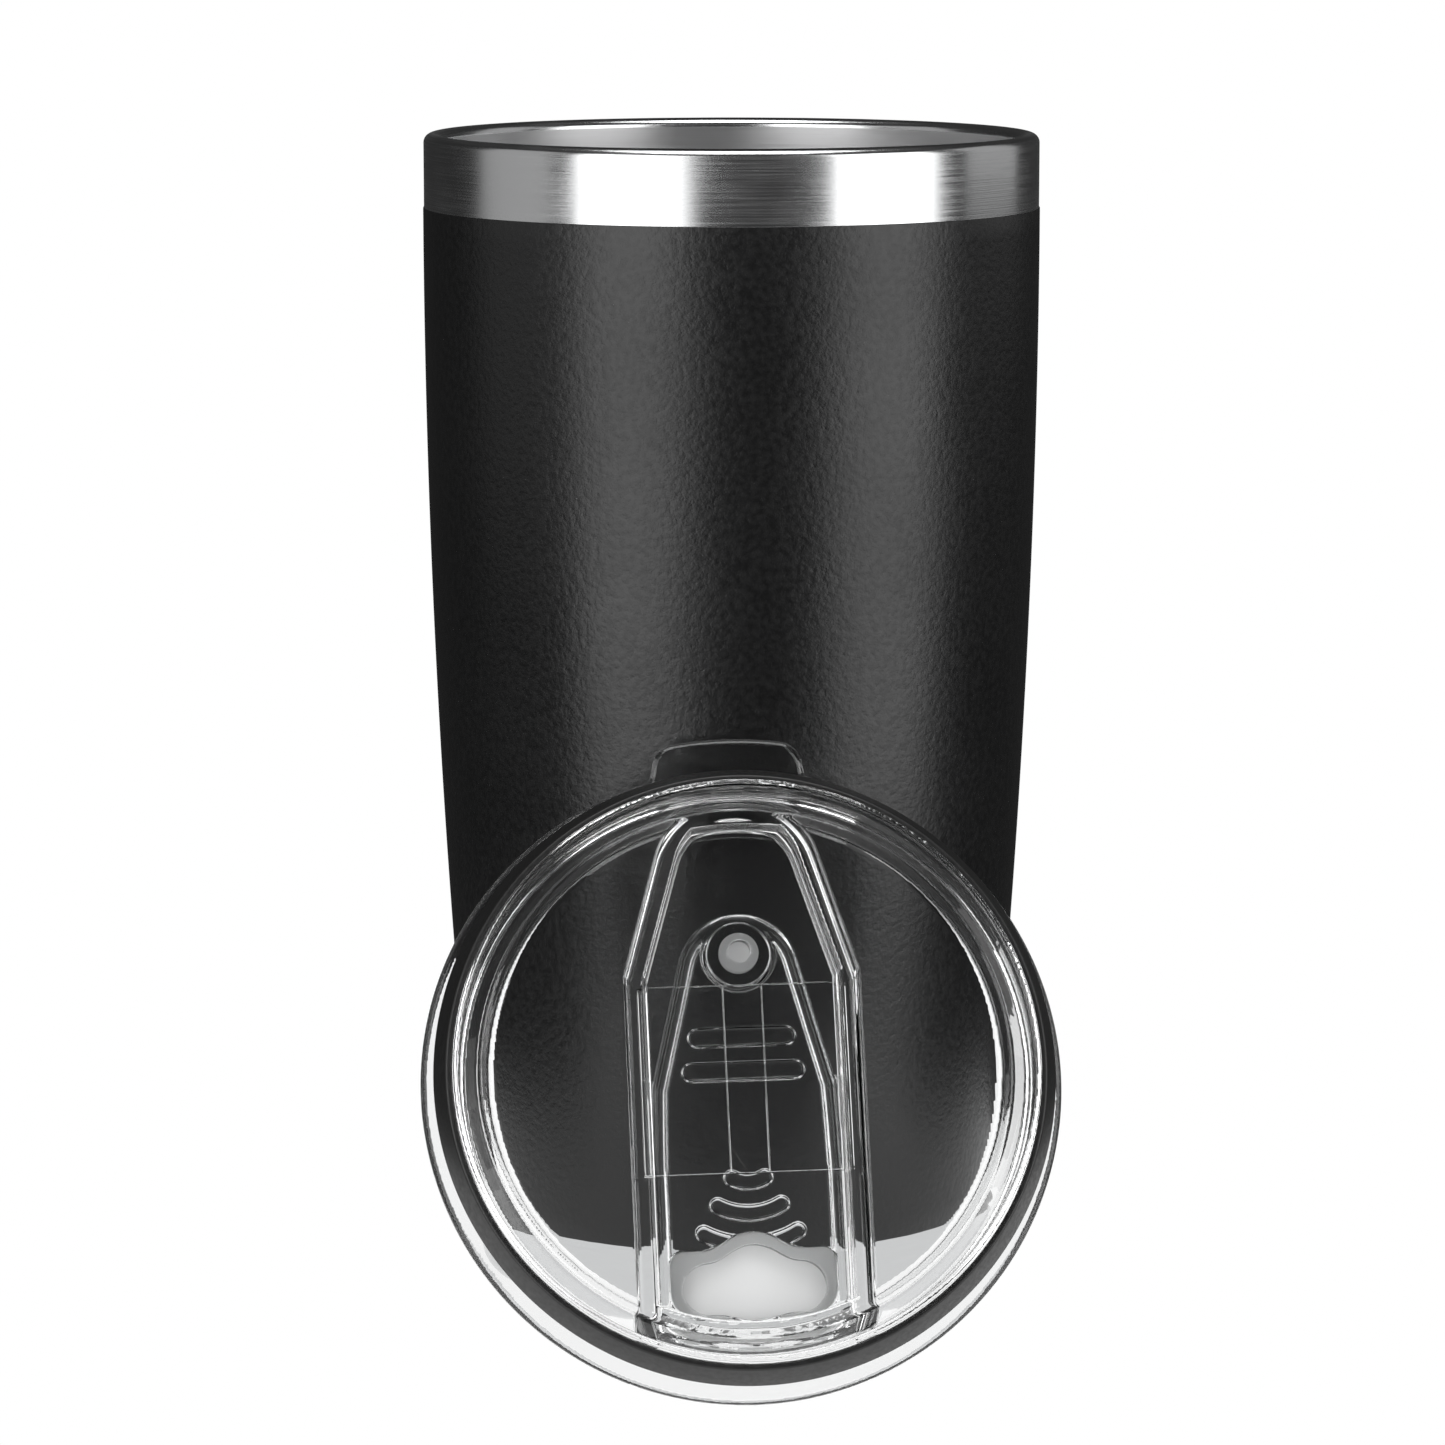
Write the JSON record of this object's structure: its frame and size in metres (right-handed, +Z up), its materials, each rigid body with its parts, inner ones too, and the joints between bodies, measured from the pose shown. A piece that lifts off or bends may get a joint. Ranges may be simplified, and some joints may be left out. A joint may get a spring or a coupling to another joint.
{
  "type": "insulated tumbler",
  "caption": "Tapered double-walled steel tumbler with a dark powder coat and bare steel bands, its clear lid with a sliding closure leaning on it, underside to the front.",
  "frame": {"origin": "on the ground at the middle of the tumbler's foot", "axes": "+Z up along the tumbler's axis, out of its mouth; -Y is the front, where the lid leans; +X is to the right seen from the front"},
  "size_m": [0.0884, 0.1323, 0.1646],
  "materials": {
    "outer_steel": "fine circumferential brushing on the bare bands, polished lip",
    "liner_steel": "satin, electropolished",
    "coat": "fine textured matte powder coat",
    "base_steel": "plain rolled",
    "cap_steel": "spun, with fine rings",
    "seal_glass": "melted bead",
    "copper": "bright copper foil",
    "getter_pellet": "sintered, dull",
    "clip_steel": "plain spring steel",
    "lid_plastic": "clear, high gloss, faint grey tint",
    "gasket_rubber": "soft matte silicone",
    "slider_plastic": "clear, high gloss, fine satin on the plate",
    "seal_rubber": "milky silicone, satin"
  },
  "bodies": {
    "tumbler": {"outer_shell": "outer_steel", "inner_liner": "liner_steel", "powder_coat": "coat", "outer_base": "base_steel", "base_cap": "cap_steel", "vacuum_seal": "seal_glass", "copper_foil": "copper", "getter": "getter_pellet", "getter_clip": "clip_steel"},
    "lid": {"lid_body": "lid_plastic", "lid_gasket": "gasket_rubber"},
    "slider": {"slider": "slider_plastic", "drink_seal": "seal_rubber", "vent_seal": "seal_rubber"}
  },
  "joints": [
    {"name": "lid_lift", "type": "slide", "parent": "tumbler", "child": "lid", "axis": [0, -0.2588, 0.9659], "range_m": [0, 0.2]},
    {"name": "slider_slide", "type": "slide", "parent": "lid", "child": "slider", "axis": [-0.0466, 0.3788, 0.9243], "range_m": [0, 0.012]}
  ]
}
